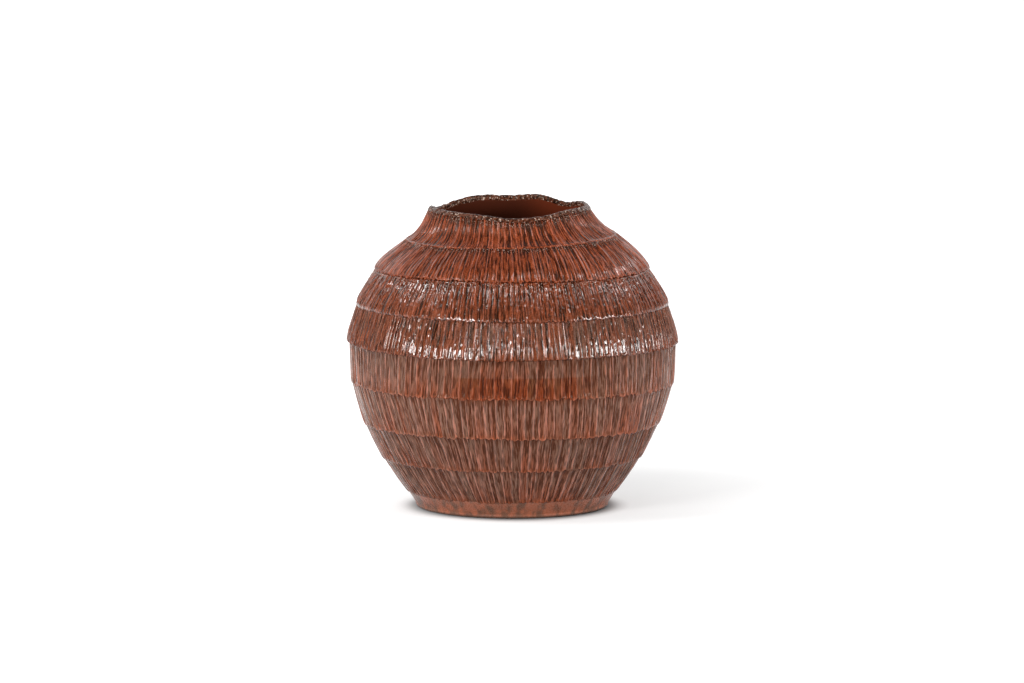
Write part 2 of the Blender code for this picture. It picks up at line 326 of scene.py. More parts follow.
def ripple(turn, height, hand, fastest, spread):
    """Smooth unevenness from 0 to 1 that closes on itself round the vase: a few random waves.

    The fastest wave goes round that many times, and spread is the height of the steepest one."""
    waves = 9
    total = np.zeros(np.broadcast(turn, height).shape)
    for _ in range(waves):
        around = hand.integers(1, fastest + 1)
        upward = hand.uniform(-1, 1) * FULL_TURN / spread
        total = total + np.sin(around * turn + upward * height + hand.uniform(0, FULL_TURN))
    return 0.5 + 0.5 * np.tanh(total / math.sqrt(waves))


def tracks(hand, count, rows, knots, size):
    """Smooth random lines up a course, one for each of count tracks, alike beside each other."""
    values = hand.uniform(-size, size, (knots, count))
    values = values * 0.5 + (np.roll(values, 1, 1) + np.roll(values, -1, 1)) * 0.25
    place = np.linspace(0, knots - 1, rows)
    first = np.minimum(place.astype(int), knots - 2)
    share = smooth_ramp(place - first, 0.0, 1.0)[:, None]
    return values[first] * (1 - share) + values[first + 1] * share


def beside(values):
    """The value of the next flute round, for each flute."""
    return np.roll(values, -1, -1)


def scooped(distance, length):
    """How far a gouge is in, from 0 to 1, at a distance from where it meets the surface."""
    share = np.clip(distance / length, 0.0, 1.0)
    return 1 - (1 - share) ** 2


def lay_out_strokes(index, rows, mean_radius, hand):
    """The strokes of a course side by side: their widths, where each column lies across its stroke,
    and each column's turn, first with the strokes as they lean and bend, then with them upright."""
    course = COURSES[index]
    count = round(FULL_TURN * mean_radius / course.pitch)
    columns = round(course.pitch / COLUMN_STEP)
    widths = hand.choice(FLUTE_WIDTHS, count, p=FLUTE_WIDTH_ODDS)
    widths = (widths * hand.uniform(*WIDTH_RANGE, count)) ** course.uneven
    starts = (np.cumsum(widths) - widths) / widths.sum() * FULL_TURN
    lean = hand.uniform(*LEAN_RANGE) + 0.4 * np.sin(3 * starts + index)
    upward = np.linspace(-0.5, 0.5, rows)[:, None]
    bends = tracks(hand, count, rows, knots=4, size=0.10)
    crest = starts + FULL_TURN / count * (bends + lean * upward)
    after = beside(crest)
    after[:, -1] += FULL_TURN
    even = np.arange(columns) / columns
    # The columns crowd towards the crests
    place = 0.6 * even + 0.2 - 0.2 * np.cos(math.pi * even)
    turn = crest[:, :, None] + (after - crest)[:, :, None] * place
    plain_widths = widths / widths.sum() * FULL_TURN
    return widths, place, turn, starts[:, None] + plain_widths[:, None] * place


def shape_strokes(widths, place, rows, hand):
    """How near a crest each column is, how deep each stroke goes and how worn its crests are."""
    count = len(widths)
    skew = hand.uniform(*SKEW_RANGE, count)[:, None]
    side = np.abs(2 * place ** np.exp(skew) - 1) ** hand.uniform(*STEEPNESS_RANGE, count)[:, None]
    depth = FLUTE_DEPTH * np.sqrt(widths) * hand.uniform(*DEPTH_RANGE, count)
    depth = depth * (1 + tracks(hand, count, rows, knots=4, size=0.2))
    worn = hand.uniform(*WEAR_RANGE, count) + tracks(hand, count, rows, knots=4, size=0.25)
    worn = np.clip(worn, 0.0, MOST_WORN)
    worn = worn[:, :, None] * (1 - place) + beside(worn)[:, :, None] * place
    return side, depth[:, :, None], worn


def end_strokes(course, distance, count, hand):
    """How far in the gouge is where it comes out at the bottom, and over its whole way."""
    bottom = course.band + course.ragged * hand.uniform(*ENDS_RANGE, count)
    top = distance[-1] - course.ragged * hand.uniform(*ENDS_RANGE, count)
    kept = np.minimum(course.open + hand.uniform(*KEPT_RANGE, count), 1.0)
    out = scooped(distance[:, None] - bottom, SCOOP_LENGTH * hand.uniform(*SCOOP_RANGE, count))
    start = scooped(top - distance[:, None], START_LENGTH * hand.uniform(*START_RANGE, count))
    reach = out * (kept + (1 - kept) * start)
    return out[:, :, None], reach[:, :, None]


def carve(index, distance, mean_radius):
    """The flutes of a course, by rows and columns. distance is how far up its side each row lies.

    plain_turn is where a column would run if the strokes were upright, cut how deep it lies, hollow
    how far from a crest it is, and ragged how far the bottom edge is pushed up or down there."""
    course = COURSES[index]
    hand = np.random.default_rng(CARVING_SEED + index)
    rows = len(distance)
    widths, place, turn, plain_turn = lay_out_strokes(index, rows, mean_radius, hand)
    count, columns = len(widths), len(place)
    side, depth, worn = shape_strokes(widths, place, rows, hand)
    out, reach = end_strokes(course, distance, count, hand)
    cut = depth * np.clip(reach - (1 - worn) * side, 0.0, None)
    cut = np.sqrt(cut**2 + CREST_ROUNDING**2) - CREST_ROUNDING

    on_right = hand.random(count) < GROOVE_RIGHT_ODDS
    right, left = hand.uniform(*GROOVE_RIGHT, count), hand.uniform(*GROOVE_LEFT, count)
    corner = np.where(on_right, right, left)
    groove = np.exp(-(((place - corner[:, None]) / GROOVE_WIDTH) ** 2))
    groove = groove * hand.uniform(*GROOVE_RANGE, (count, 1))
    lines = tracks(hand, count * columns, rows, knots=2, size=0.8)
    lines = lines + tracks(hand, count * columns, rows, knots=5, size=0.5)
    lines = lines.reshape(cut.shape)
    cut = cut + reach * (GROOVE_DEPTH * groove + TOOL_LINES * lines * np.clip(1.2 - side, 0.3, 1.0))

    hollow = np.minimum(1, 2 * reach) * (1 - side + 0.9 * groove + 0.55 * lines)
    edge = np.clip(1 - 3 * out, 0.0, 1.0)
    hollow = hollow + edge * course.pooling * np.clip(0.8 + 1.2 * lines, 0.0, 1.6)
    tone = np.broadcast_to(hand.uniform(-1, 1, (count, 1)), cut.shape)
    ragged = course.ragged * (0.5 * np.cos(FULL_TURN * place) + hand.uniform(-0.7, 0.7, (count, 1)))
    flat = (rows, count * columns)
    return Flutes(
        turn.reshape(flat),
        np.broadcast_to(plain_turn, cut.shape).reshape(flat),
        np.maximum(cut, 0.0).reshape(flat),
        hollow.reshape(flat),
        tone.reshape(flat),
        ragged.reshape(flat[1]),
    )


def map_places(rows, columns, outside_rows):
    """Where each corner of each face of a ring lies in a flat map.

    The outside goes in bands that each hold a part of the turn, and the rest in one long band."""
    column = np.arange(columns)
    band = column * MAP_BANDS // columns
    left = column / columns * MAP_BANDS - band
    right = (column + 1) / columns * MAP_BANDS - band
    row = np.arange(rows)
    last = outside_rows - 1
    outside = row < last
    low = np.where(outside, row / last, (row - last) / (rows - last))
    high = np.where(outside, (row + 1) / last, (row + 1 - last) / (rows - last))
    across = np.stack((left, right, right, left), -1)[None].repeat(rows, 0)
    long_way = np.stack((column, column + 1, column + 1, column), -1)[None] / columns
    up = np.stack((low, low, high, high), -1)[:, None].repeat(columns, 1)
    across = np.where(outside[:, None, None], across, long_way)
    band_height = MAP_OUTSIDE / MAP_BANDS
    inside_height = 1 - MAP_OUTSIDE
    up = np.where(
        outside[:, None, None],
        (band[None, :, None] + MAP_MARGIN + up * (1 - 10 * MAP_MARGIN)) * band_height,
        MAP_OUTSIDE + up * inside_height * (1 - 2 * MAP_MARGIN),
    )
    across = MAP_MARGIN + across * (1 - 2 * MAP_MARGIN)
    return np.stack((across, up), -1).reshape(-1, 2)


def ring_piece(name, points, marks, outside_rows, poles=False):
    """A closed ring from a grid of points in millimetres: its rows go round the section and its
    columns round the vase. marks are the values that its finish reads at each point."""
    rows, columns = points.shape[:2]
    corner = np.arange(rows * columns).reshape(rows, columns)
    above, right = np.roll(corner, -1, 0), np.roll(corner, -1, 1)
    faces = np.stack((corner, right, np.roll(above, -1, 1), above), -1).reshape(-1, 4)
    mesh = bpy.data.meshes.new(name)
    mesh.from_pydata((points.reshape(-1, 3) * MM).tolist(), [], faces.tolist())
    places = map_places(rows, columns, outside_rows)
    layer = mesh.uv_layers.new(name=MAP_NAME)
    layer.uv.foreach_set("vector", places.astype(np.float32).ravel())
    for mark, values in marks.items():
        kind = "FLOAT_VECTOR" if values.ndim == 3 else "FLOAT"
        attribute = mesh.attributes.new(mark, kind, "POINT")
        slot = "vector" if values.ndim == 3 else "value"
        attribute.data.foreach_set(slot, values.astype(np.float32).ravel())
    if poles:
        shape = bmesh.new()
        shape.from_mesh(mesh)
        bmesh.ops.remove_doubles(shape, verts=shape.verts, dist=MM * POLE_MERGE)
        shape.to_mesh(mesh)
        shape.free()
    mesh.shade_smooth()
    piece = bpy.data.objects.new(name, mesh)
    bpy.context.scene.collection.objects.link(piece)
    return piece


def hand_in(piece, node, material):
    """Gives a piece its finish and its place in the frame, in place of the node of the model."""
    piece.data.materials.append(material)
    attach(piece, "root")
    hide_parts(node)


def between(first, last, shares):
    """Rows of points on the way from one row to another."""
    return [first + (last - first) * share for share in shares]


def plain_row(columns, point):
    """A row of a ring at one radius and height, with columns at these turns."""
    return np.stack((columns, np.full_like(columns, point[0]), np.full_like(columns, point[1])), -1)


def carved_side(index, points, facing, distance, flutes):
    """Turn, radius and height of each point of a course's outer side, carved, dented and gritty."""
    course = COURSES[index]
    hand = np.random.default_rng(GRIT_SEED + index)
    rows, columns = flutes.turn.shape
    chord = np.hypot(*(points[-1] - points[0]))
    height = points[:, 1][:, None]
    dents = DENTS * ripple(flutes.turn, height, hand, fastest=24, spread=50.0)
    grit = tracks(hand, columns, rows, knots=round(chord / course.lumps), size=1.0)
    dents = dents + course.grit * (1.5 + 2.5 * grit)
    rounding = EDGE_DROP * np.clip(1 - distance / course.edge, 0.0, 1.0) ** 2
    inset = SKIN + flutes.cut + dents + rounding[:, None]
    pushed = flutes.ragged * (1 - smooth_ramp(distance, 0.0, RAGGED_REACH))[:, None]
    radius = points[:, 0][:, None] - facing[:, 0][:, None] * inset - facing[:, 1][:, None] * pushed
    height = height - facing[:, 1][:, None] * inset + facing[:, 0][:, None] * pushed
    return np.stack((flutes.turn, radius, height), -1)


def glaze_marks(index, flutes, distance, length, mean_radius, hidden):
    """What the rust glaze reads at each point of a course. After the rows of the outer side come
    the hidden ones, of the laps and the lining, with one value for all their points."""
    course = COURSES[index]
    rows, columns = flutes.turn.shape

    def padded(values, filler):
        """The outer side's values, with one value for all the hidden rows."""
        return np.concatenate((values, np.full((hidden, columns), filler)))

    upward = np.concatenate((distance, np.full(hidden, length)))[:, None]
    plain = np.broadcast_to(flutes.plain_turn[0], (rows + hidden, columns))
    along = np.broadcast_to(upward, plain.shape)
    grain = np.stack((mean_radius * np.sin(plain), -mean_radius * np.cos(plain), along), -1)
    lining = padded(np.zeros_like(flutes.cut), 1.0)
    lining[rows : rows + GLAZED_LAP_ROWS] = 0.0
    return {
        "hollow": padded(flutes.hollow, 0.0),
        "tone": padded(flutes.tone, 0.0),
        "lining": lining,
        "shade": padded(np.full_like(flutes.cut, course.shade), 1.0),
        "gloss": padded(np.full_like(flutes.cut, course.gloss), 0.0),
        "climb": np.broadcast_to(upward / length, plain.shape),
        "grain": (grain + (0.0, 0.0, 200.0 * index)) * MM,
    }


def carved_course(index, material):
    """A strip of clay with flutes carved all round, its joint faces, and its plain inner side."""
    course = COURSES[index]
    low_outer, low_inner = joint_below(index)
    high_outer, high_inner = joint_above(index + 1)
    length = (high_outer - low_outer).length
    plain_rows = round((length - EDGE_ROWS[-1]) / FLUTE_ROW_STEP)
    climb = np.concatenate((EDGE_ROWS[:-1], np.linspace(EDGE_ROWS[-1], length, plain_rows)))
    points, facing = side_of(course, low_outer, high_outer, climb / length)
    steps = np.linalg.norm(np.diff(points, axis=0), axis=1)
    distance = np.concatenate(([0.0], np.cumsum(steps)))
    mean_radius = points[:, 0].mean()
    flutes = carve(index, distance, mean_radius)
    outer = carved_side(index, points, facing, distance, flutes)

    columns = flutes.plain_turn[0]
    lining, _ = side_of(course, low_inner, high_inner, LINING_ROWS, INSIDE_FOLLOWS_SWELL)
    lining = [plain_row(columns, point) for point in lining]
    ring = list(outer) + between(outer[-1], lining[0], UPPER_LAP_ROWS)
    ring += lining + between(lining[-1], outer[0], LOWER_LAP_ROWS)
    ring = np.array(ring)
    hidden = len(ring) - len(outer)
    marks = glaze_marks(index, flutes, distance, length, mean_radius, hidden)
    shaped = hand_shaped(ring[..., 0], ring[..., 1], ring[..., 2])
    name = COURSE_NAMES[index]
    piece = ring_piece("%s_glazed" % name, shaped, marks, len(outer))
    hand_in(piece, name, material)


def turned_grid(section):
    """Turn, radius and height of every point of a plain ring with this section."""
    turn = np.linspace(0, FULL_TURN, RING_COLUMNS, endpoint=False)
    radius, height = np.array(section).T
    return np.broadcast_arrays(turn[None], radius[:, None], height[:, None])


def resampled(section, step):
    """A closed section with a point at least every step, its own points kept."""
    dense = []
    for here, there in zip(section, section[1:] + section[:1]):
        count = max(1, math.ceil((there - here).length / step))
        dense += [here.lerp(there, k / count) for k in range(count)]
    return dense


def lip_coil(material):
    """The rolled lip, pinched uneven by the fingers and nicked along its crest."""
    place = joint(len(COURSES))
    middle = (place.outer + place.inner) / 2 - place.square * LUTE_BEDDING
    half = (place.inner - place.outer).length / 2 + LIP_OVERHANG
    angle = np.linspace(0, math.pi, LIP_ROWS)
    angle = np.concatenate((angle[:1], [0.01], angle[1:-1], [math.pi - 0.01], angle[-1:]))
    across, square = np.array(place.across), np.array(place.square)
    arch = np.array(middle) + half * np.cos(angle)[:, None] * across
    arch = arch + LIP_COIL_HEIGHT * np.sin(angle)[:, None] * square
    turn, radius, height = turned_grid(arch[::-1])
    away = (np.cos(angle)[:, None] * across + np.sin(angle)[:, None] * square)[::-1]
    hand = np.random.default_rng(LIP_SEED)
    lumps = 0.0
    for size, fastest, spread in LIP_LUMPS:
        lumps = lumps + size * ripple(turn, height, hand, fastest, spread)
    nicks = np.zeros_like(turn[0])
    for _ in range(LIP_NICKS):
        gap = (turn[0] - hand.uniform(0, FULL_TURN) + math.pi) % FULL_TURN - math.pi
        deep = hand.uniform(*NICK_DEPTHS)
        wide = hand.uniform(*NICK_LENGTHS)
        nicks = nicks + deep * np.exp(-((gap * SEAMS[-1].x / wide) ** 2))
    crest = np.sin(angle[::-1])[:, None]
    inset = SKIN + lumps + np.minimum(nicks, DEEPEST_NICK) * crest
    radius = radius - away[:, 0][:, None] * inset
    height = height - away[:, 1][:, None] * inset
    ring = np.stack((turn, radius, height), -1)
    ring = np.concatenate((ring, between(ring[-1], ring[0], LIP_UNDERSIDE_ROWS)))
    shaped = hand_shaped(ring[..., 0], ring[..., 1], ring[..., 2])
    piece = ring_piece("lip_coil_glazed", shaped, {}, len(angle))
    hand_in(piece, "lip_coil", material)


def foot_band(material):
    """The plain band: joint face, sloping side, arris, ground ring, ledge and inner fillet."""
    top_outer, top_inner = joint_above(0)
    arris = []
    for step in range(ARRIS_STEPS + 1):
        turn = math.radians(90) * (1 - step / ARRIS_STEPS)
        reach, rise = FOOT_ARRIS * math.cos(turn), FOOT_ARRIS * (1 - math.sin(turn))
        arris.append(Vector((GROUND_RADIUS + reach, rise)))
    ledge_radius = FOOT_RING_INNER_RADIUS + LEDGE_WIDTH
    slab_top = UNDERSIDE_RECESS + SLAB_GAP + SLAB_THICKNESS
    corner = Vector((top_inner.x - (top_inner.y - slab_top) * FOOT_INSIDE_SLOPE, slab_top))
    ledge_top = Vector((ledge_radius, slab_top))
    fillet = ledge_top.lerp(corner, 0.5).lerp(corner.lerp(top_inner, 0.5), 0.5)
    outer = resampled(arris + [top_outer], RING_ROW_STEP)
    outer = outer[: 1 + outer.index(top_outer)]
    rest = [
        top_inner,
        fillet,
        ledge_top,
        Vector((ledge_radius, UNDERSIDE_RECESS)),
        Vector((FOOT_RING_INNER_RADIUS, UNDERSIDE_RECESS)),
        Vector((FOOT_RING_INNER_RADIUS, FOOT_RING_CHAMFER)),
        Vector((FOOT_RING_INNER_RADIUS + FOOT_RING_CHAMFER, 0.0)),
    ]
    turn, radius, height = turned_grid(outer + rest)
    hand = np.random.default_rng(FOOT_SEED)
    dents = SKIN + FOOT_DENTS * ripple(turn, height, hand, fastest=30, spread=16.0)
    shown = np.array([1.0] * len(outer) + [0.0] * len(rest))[:, None]
    shown = shown * smooth_ramp(height, 0.5, FOOT_ARRIS)
    shaped = hand_shaped(turn, radius - dents * shown, height)
    marks = {"under": np.broadcast_to(1.0 - shown, turn.shape)}
    piece = ring_piece("foot_band_glazed", shaped, marks, len(outer))
    hand_in(piece, "foot_band", material)


def base_slab(material):
    """The disc that closes the bottom, scraped flat, with its edge on the foot band's ledge."""
    low = UNDERSIDE_RECESS + SLAB_GAP
    high = low + SLAB_THICKNESS
    radius = FOOT_RING_INNER_RADIUS + LEDGE_WIDTH - SLAB_GAP
    rim = radius - SLAB_EDGE_CHAMFER
    rings = [share * rim for share in np.linspace(0, 1, SLAB_RINGS)]
    edge = (low + SLAB_EDGE_CHAMFER, high - SLAB_EDGE_CHAMFER)
    section = [Vector((ring, low)) for ring in rings]
    section += [Vector((radius, height)) for height in edge]
    section += [Vector((ring, high)) for ring in reversed(rings)]
    turn, radius, height = turned_grid(section)
    hand = np.random.default_rng(SLAB_SEED)
    scrapes = SLAB_SCRAPES * ripple(turn, radius, hand, fastest=6, spread=9.0)
    scrapes = scrapes * smooth_ramp(radius, 0.0, 12.0)
    inward = np.where(height < (low + high) / 2, 1.0, -1.0)
    away = (radius < rim - 1.0) * inward * scrapes
    shaped = hand_shaped(turn, radius, height + away)
    piece = ring_piece("base_slab_clay", shaped, {}, len(rings) + 2, poles=True)
    hand_in(piece, "base_slab", material)


class Value:
    """A number, colour or direction that varies over a surface. Arithmetic adds Math nodes."""

    def __init__(self, finish, socket):
        self.finish = finish
        self.socket = socket

    def maths(self, operation, first, second):
        return self.finish.add("ShaderNodeMath", {"operation": operation}, {0: first, 1: second})

    def __add__(self, other):
        return self.maths("ADD", self, other)

    def __radd__(self, other):
        return self.maths("ADD", other, self)

    def __sub__(self, other):
        return self.maths("SUBTRACT", self, other)

    def __rsub__(self, other):
        return self.maths("SUBTRACT", other, self)

    def __mul__(self, other):
        return self.maths("MULTIPLY", self, other)

    def __rmul__(self, other):
        return self.maths("MULTIPLY", other, self)


class Finish:
    """The nodes of a material or of the surroundings."""

    def __init__(self, owner):
        owner.use_nodes = True
        self.owner = owner
        self.tree = owner.node_tree

    def add(self, kind, settings=None, inputs=None, output=0):
        """Adds a node: first its settings, then the values or links of its sockets."""
        node = self.tree.nodes.new(kind)
        for name, setting in (settings or {}).items():
            setattr(node, name, setting)
        for name, value in (inputs or {}).items():
            self.set_socket(node.inputs[name], value)
        return Value(self, node.outputs[output])

    def set_socket(self, socket, value):
        """Links a value to a socket, or sets the socket to a plain number, colour or direction."""
        if isinstance(value, Value):
            self.tree.links.new(value.socket, socket)
        else:
            socket.default_value = value

    def mark(self, name, output="Fac"):
        """A value that the mesh carries at its points."""
        return self.add("ShaderNodeAttribute", {"attribute_name": name}, output=output)

    def place(self):
        """Where a point lies on the vase, in metres."""
        return self.add("ShaderNodeTexCoord", output="Object")

    def stretched(self, vector, by):
        """A direction or place with each of its parts scaled."""
        return self.add("ShaderNodeVectorMath", {"operation": "MULTIPLY"}, {0: vector, 1: by})

    def part(self, vector, axis):
        """One part of a direction or place: X, Y or Z."""
        return self.add("ShaderNodeSeparateXYZ", None, {"Vector": vector}, output=axis)

    def noise(self, vector, size, detail=2.0, roughness=0.5):
        """Cloudy noise whose blotches are about size millimetres across."""
        sockets = {
            "Vector": vector,
            "Scale": 1 / (size * MM),
            "Detail": detail,
            "Roughness": roughness,
        }
        return self.add("ShaderNodeTexNoise", None, sockets)

    def ramp(self, value, low, high, least=0.0, most=1.0):
        """A smooth rise from least at low to most at high."""
        sockets = {"Value": value, 1: low, 2: high, 3: least, 4: most}
        return self.add("ShaderNodeMapRange", {"interpolation_type": "SMOOTHSTEP"}, sockets)

    def fall(self, value, low, high):
        """A smooth fall from 1 at low to 0 at high."""
        return self.ramp(value, low, high, 1.0, 0.0)

    def mix(self, share, first, second):
        """A colour on the way from the first to the second."""
        sockets = {0: share, 6: first, 7: second}
        return self.add("ShaderNodeMix", {"data_type": "RGBA"}, sockets, output=2)

    def tinted(self, colour, tint, share=1.0):
        """A colour multiplied by another, as far as the share goes."""
        settings = {"data_type": "RGBA", "blend_type": "MULTIPLY"}
        return self.add("ShaderNodeMix", settings, {0: share, 6: colour, 7: tint}, output=2)

    def scaled(self, colour, by):
        """A colour made lighter or darker by a factor."""
        return self.tinted(colour, self.add("ShaderNodeCombineColor", None, {0: by, 1: by, 2: by}))

    def bump(self, height, depth):
        """A normal for a relief whose height goes from 0 to 1 over a depth in millimetres."""
        return self.add("ShaderNodeBump", None, {"Height": height, "Distance": depth * MM})

    def shader(self, **sockets):
        """Sets the sockets of the surface's own shader. An underscore in a name is a space."""
        node = self.tree.nodes["Principled BSDF"]
        for name, value in sockets.items():
            self.set_socket(node.inputs[name.replace("_", " ")], value)
        return self.owner


def new_finish(name):
    """An empty material, to be filled with nodes."""
    return Finish(bpy.data.materials.new(name))


# Colours of the rust glaze: broken over the crests, in the hollows, pooled in the grooves, the
# tint of a patch on the belly that is a painted reflection of a dark gap, the redder shoulder,
# inside the mouth, and pale flecks under the lip and at the tops of the upper courses, partly
# specks in the glaze and partly painted glints
PALE_RUST = (0.228, 0.078, 0.046, 1)
BRIGHT_RUST = (0.250, 0.064, 0.030, 1)
GREY_BROWN = (0.108, 0.047, 0.029, 1)
RED_BROWN = (0.155, 0.035, 0.013, 1)
DARK_RUST = (0.065, 0.016, 0.006, 1)
SOOTY_RUST = (0.035, 0.009, 0.003, 1)
REFLECTION_PATCH_TINT = (0.85, 0.62, 0.40, 1)
SHOULDER_TINT = (1.02, 0.88, 0.76, 1)
INNER_BROWN = (0.066, 0.016, 0.008, 1)
INNER_RED = (0.140, 0.027, 0.011, 1)
PALE_FLECKS_AND_GLINTS = (0.38, 0.30, 0.25, 1)

# Colours of the lip, of the foot and of the bare clay
LIP_BLACK = (0.018, 0.007, 0.004, 1)
LIP_BROWN = (0.10, 0.031, 0.016, 1)
LIP_SPECKS = (0.42, 0.32, 0.26, 1)
FOOT_BROWN = (0.100, 0.043, 0.025, 1)
FOOT_ORANGE = (0.190, 0.060, 0.031, 1)
FOOT_UNDERSIDE = (0.08, 0.045, 0.032, 1)
CLAY = (0.20, 0.105, 0.072, 1)
PALE_CLAY = (0.26, 0.135, 0.09, 1)
GROG = (0.09, 0.05, 0.04, 1)

# Where the rust glaze changes, in metres: the heights over which it turns redder and glossier,
# where the sixth course and the shoulder begin, the edges of the patch painted darker as a
# reflection, of the fifth course's wet places and of the drier middle between them, and where
# the inside turns red
REDDER_HEIGHT = (0.16, 0.20)
GLOSSY_HEIGHT = (0.135, 0.150)
SIXTH_HEIGHT = (0.172, 0.174)
SHOULDER_HEIGHT = (0.17, 0.21)
PATCH_TOP = (0.125, 0.127)
PATCH_BOTTOM = (0.100, 0.112)
PATCH_LEFT = (-0.052, -0.040)
PATCH_RIGHT = (0.045, 0.085)
PATCH_BACK = (-0.05, 0.0)
WET_LEFT = (-0.103, -0.080)
WET_RIGHT = (0.106, 0.122)
DRIER_LEFT = (-0.034, -0.022)
DRIER_RIGHT = (0.040, 0.052)
RED_INSIDE = (0.0, 0.04)


def painted_reflection_patch(glaze, place):
    """1 on the front of the fourth course, whose glaze is painted darker and browner there as a
    reflection of the dark gap in front of the floor, and 0 elsewhere.
    """
    height, across, back = (glaze.part(place, axis) for axis in "ZXY")
    reflection_patch = glaze.fall(height, *PATCH_TOP) * glaze.ramp(height, *PATCH_BOTTOM)
    reflection_patch = reflection_patch * glaze.ramp(across, *PATCH_LEFT) * glaze.fall(across, *PATCH_RIGHT)
    return reflection_patch * glaze.fall(back, *PATCH_BACK)


def wet_places(glaze, place, climb, specks):
    """How wet the two shiny courses are: the sixth towards its seams, and the fifth in two broad
    places, with a drier middle and ends."""
    across = glaze.part(place, "X")
    fifth = glaze.ramp(across, *WET_LEFT, 0.35, 1.0) * glaze.ramp(across, *WET_RIGHT, 1.0, 0.35)
    middle = glaze.ramp(across, *DRIER_LEFT) * glaze.fall(across, *DRIER_RIGHT)
    fifth = fifth * (1 - middle * glaze.ramp(climb, 0.15, 0.45, 0.85, 0.0))
    fifth = fifth * glaze.ramp(climb, 0.50, 0.72, 1.0, 0.6) * glaze.ramp(climb, 0.0, 0.10, 0.5, 1.0)
    sixth = glaze.ramp(climb, 0.60, 0.78, 0.35, 1.0) + glaze.ramp(climb, 0.04, 0.12, 0.65, 0.0)
    above = glaze.ramp(glaze.part(place, "Z"), *SIXTH_HEIGHT)
    wetness = above * sixth + (1 - above) * fifth
    return wetness * glaze.ramp(specks, 0.42, 0.54, 0.4, 1.0)


def rust_glaze():
    """Iron-red glaze: it breaks red over the crests and pools grey-brown in the hollows."""
    glaze = new_finish("rust_glaze")
    hollow, tone, lining = glaze.mark("hollow"), glaze.mark("tone"), glaze.mark("lining")
    climb, gloss, shade = glaze.mark("climb"), glaze.mark("gloss"), glaze.mark("shade")
    grain = glaze.mark("grain", "Vector")
    place = glaze.place()
    streaks = glaze.noise(glaze.stretched(grain, (1.0, 1.0, 0.06)), size=1.8, roughness=0.6)
    upright = glaze.stretched(grain, (1.0, 1.0, 0.12))
    fine = glaze.ramp(glaze.noise(upright, size=1.1, detail=1.0, roughness=0.6), 0.36, 0.64)
    patches = glaze.noise(place, size=34.0)
    specks = glaze.noise(place, size=1.1, roughness=0.6)
    height = glaze.part(place, "Z")
    high = glaze.ramp(height, *REDDER_HEIGHT)
    glossy = glaze.ramp(height, *GLOSSY_HEIGHT)
    wet = glaze.ramp(gloss, 0.7, 1.0)
    reflection_patch = painted_reflection_patch(glaze, place)

    reddish = patches * 0.5 + tone * 0.2 + streaks * 0.5 + 0.2
    # The lower courses turn greyer towards their tops, under the ledge of the course above: painted
    # shade and reflection
    reddish = reddish + high * 0.35 + wet * 0.25 - climb * (1 - high) * 0.32
    pooled = glaze.mix(glaze.ramp(reddish, 0.35, 0.95), GREY_BROWN, RED_BROWN)
    broken = glaze.mix(glaze.ramp(reddish, 0.45, 1.05), PALE_RUST, BRIGHT_RUST)
    depth = hollow + (streaks - 0.5) * 0.5 + (fine - 0.5) * 0.5
    # Darker towards the top of each course, under the ledge above: partly glaze pooled where the
    # strokes start, partly painted shade
    depth = depth + glaze.ramp(climb, 0.75, 0.97) * (0.2 + high * 0.25) * (1 - wet * 0.8)
    colour = glaze.mix(glaze.ramp(depth, 0.0, 0.6), broken, pooled)
    pools = glaze.mix(glossy, DARK_RUST, SOOTY_RUST)
    colour = glaze.mix(glaze.ramp(depth + high * 0.1, 0.85, 1.35), colour, pools)
    mottle = 1 + (specks - 0.5) * (0.5 + glossy * 1.9)
    colour = glaze.scaled(colour, (1.25 - 0.5 * fine) * mottle * shade)
    colour = glaze.mix(glaze.ramp(specks, 0.60, 0.72) * 0.3, colour, DARK_RUST)
    # Painted reflection: the patch on the front of the fourth course tinted darker and browner, as
    # the dark gap in front of the floor mirrored in it
    colour = glaze.tinted(colour, REFLECTION_PATCH_TINT, reflection_patch * glaze.ramp(depth, -0.2, 0.6, 0.4, 1.0))
    colour = glaze.tinted(colour, SHOULDER_TINT, glaze.ramp(height, *SHOULDER_HEIGHT))
    # Pale flecks at the tops of the upper courses: partly specks in the glaze, partly painted
    # glints
    flecks_and_glints = glaze.ramp(specks, 0.60, 0.65) * glaze.ramp(climb, 0.8, 0.95) * high
    colour = glaze.mix(flecks_and_glints * 0.8, colour, PALE_FLECKS_AND_GLINTS)
    inside = glaze.mix(glaze.ramp(glaze.part(place, "X"), *RED_INSIDE), INNER_BROWN, INNER_RED)
    colour = glaze.mix(lining, colour, inside)

    relief = fine * -0.4 + specks * 0.6
    ends = glaze.ramp(climb, 0.03, 0.18, 0.2, 1.0) * glaze.ramp(climb, 0.93, 0.99, 1.0, 0.2)
    coat = gloss * (1 - glaze.ramp(depth, 0.0, 1.3) * (0.95 - wet * 0.5))
    coat = coat * (wet * wet_places(glaze, place, climb, specks) + (1 - wet) * ends)
    shine = glossy * 0.2 * (1 - glaze.ramp(climb, 0.5, 0.9, 0.0, 0.5))
    coat = glaze.ramp(coat + shine, 0.0, 1.0)
    return glaze.shader(
        Base_Color=colour,
        Roughness=glaze.ramp(specks + patches * 0.3, 0.35, 0.9, 0.1, 0.25),
        Normal=glaze.bump(relief * (1 - lining * 0.8), 0.5),
        IOR=1.25,
        Specular_Tint=(1.0, 0.80, 0.64, 1),
        Coat_Weight=coat * (1 - reflection_patch * 0.7),
        Coat_Roughness=0.07,
        Coat_IOR=1.56,
    )


